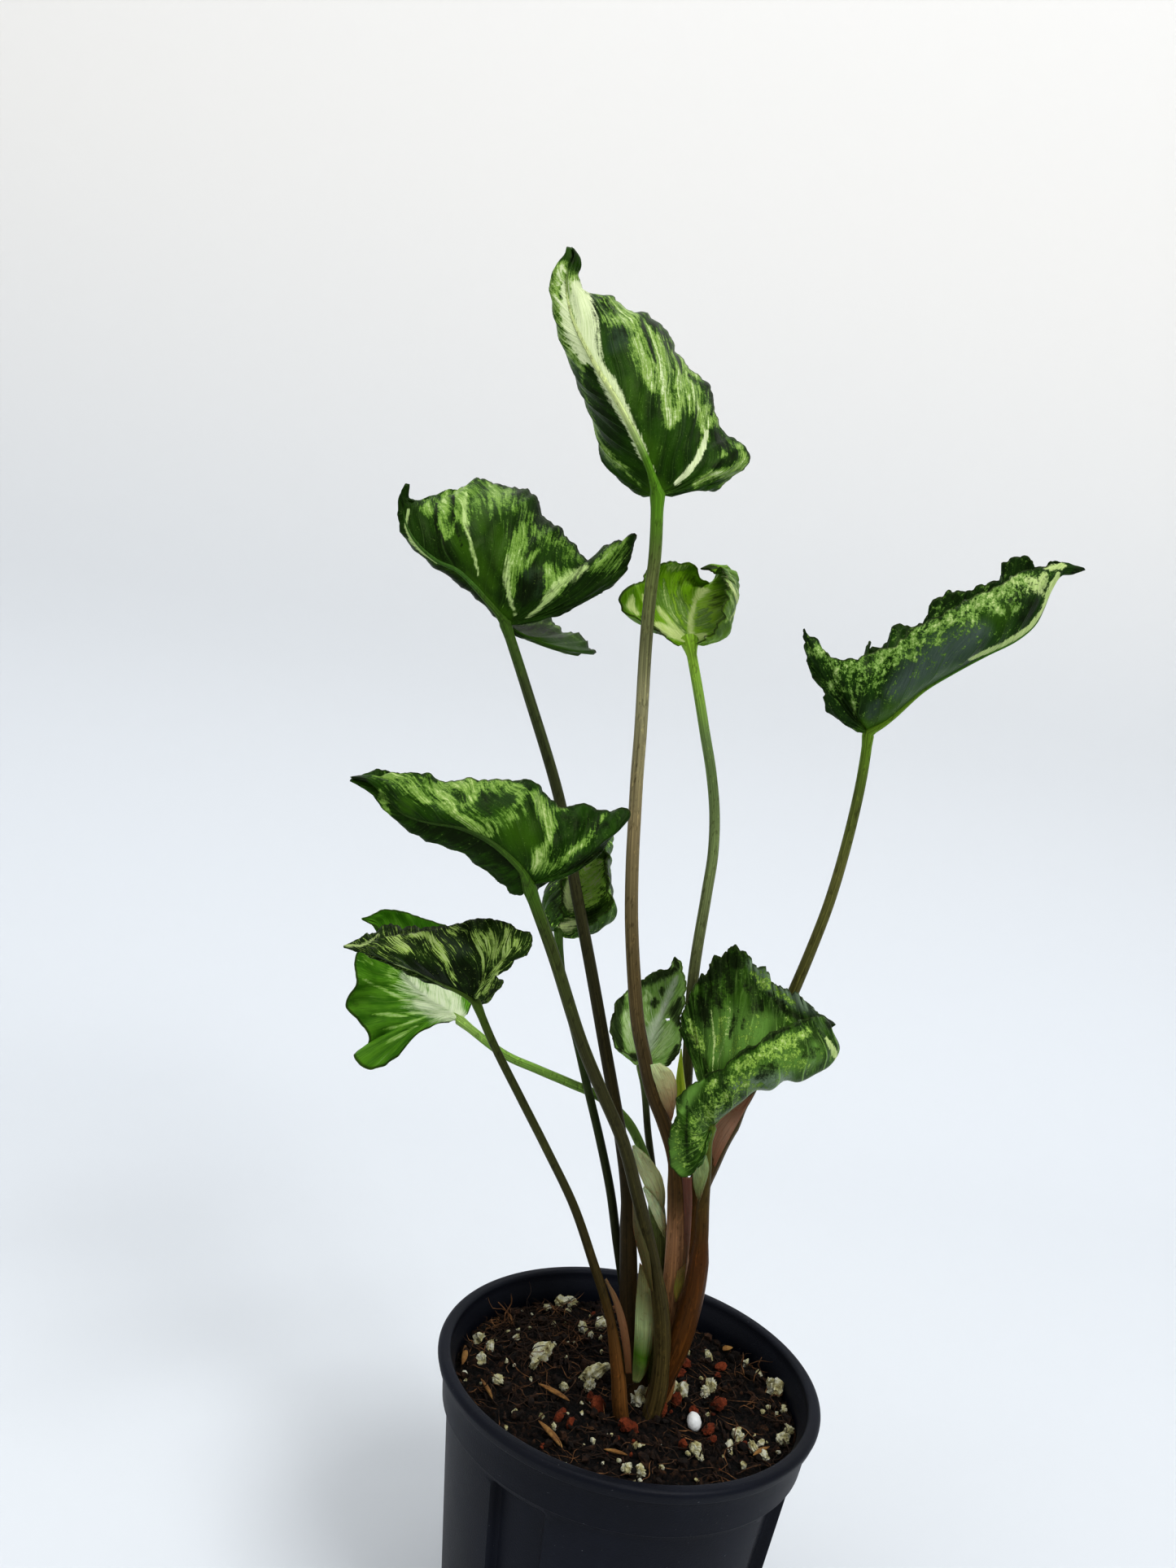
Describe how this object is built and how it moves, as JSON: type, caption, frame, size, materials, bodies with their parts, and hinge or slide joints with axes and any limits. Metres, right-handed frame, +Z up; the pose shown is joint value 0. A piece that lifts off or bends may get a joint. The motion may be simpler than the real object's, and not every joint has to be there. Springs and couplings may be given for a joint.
{
  "type": "potted syngonium",
  "caption": "Young arum-family houseplant with curled, variegated arrow-shaped leaves on long stalks, standing in a round black nursery pot of potting mix.",
  "frame": {"origin": "centre of the pot's flat underside", "axes": "+Z up along the pot's axis, which is also the object's longest side; -Y faces the viewer of the picture, +X to that viewer's right"},
  "size_m": [0.1884, 0.1143, 0.392],
  "materials": {
    "black_plastic": "moulded blue-black plastic, satin, lightly dusty",
    "potting_mix": "damp dark brown coir and bark with white perlite and orange-red clay bits",
    "sheath_skin": "living sheath skin, olive to pinkish brown, finely ribbed, semi-gloss",
    "stalk_brown": "living stalk, olive brown with fine pale lines, semi-gloss",
    "stalk_olive": "living stalk, dark olive with fine pale lines, semi-gloss",
    "stalk_green": "living stalk, green, semi-gloss",
    "leaf_variegated": "living leaf, glossy dark green with cream and yellow-green streaks",
    "leaf_dark": "living leaf, dark grey-green with pale speckles, semi-gloss",
    "leaf_bright": "living young leaf, bright yellow-green, satin"
  },
  "bodies": {
    "root": {"nursery_pot": "black_plastic", "potting_mix": "potting_mix", "sheath_clump": "sheath_skin", "petiole_top": "stalk_brown", "petiole_right": "stalk_brown", "petiole_right_front": "stalk_brown", "petiole_upper_left": "stalk_olive", "petiole_front_left": "stalk_olive", "petiole_low_left": "stalk_olive", "petiole_small_upright": "stalk_olive", "petiole_pale_low": "stalk_green", "petiole_small_back": "stalk_green", "petiole_small_middle": "stalk_green", "blade_top": "leaf_variegated", "blade_upper_left": "leaf_variegated", "blade_right": "leaf_variegated", "blade_front_left": "leaf_variegated", "blade_right_front": "leaf_variegated", "blade_low_left": "leaf_dark", "blade_small_back": "leaf_dark", "blade_small_middle": "leaf_dark", "blade_small_upright": "leaf_bright", "blade_pale_low": "leaf_bright", "spear_leaf": "leaf_bright"}
  },
  "joints": []
}
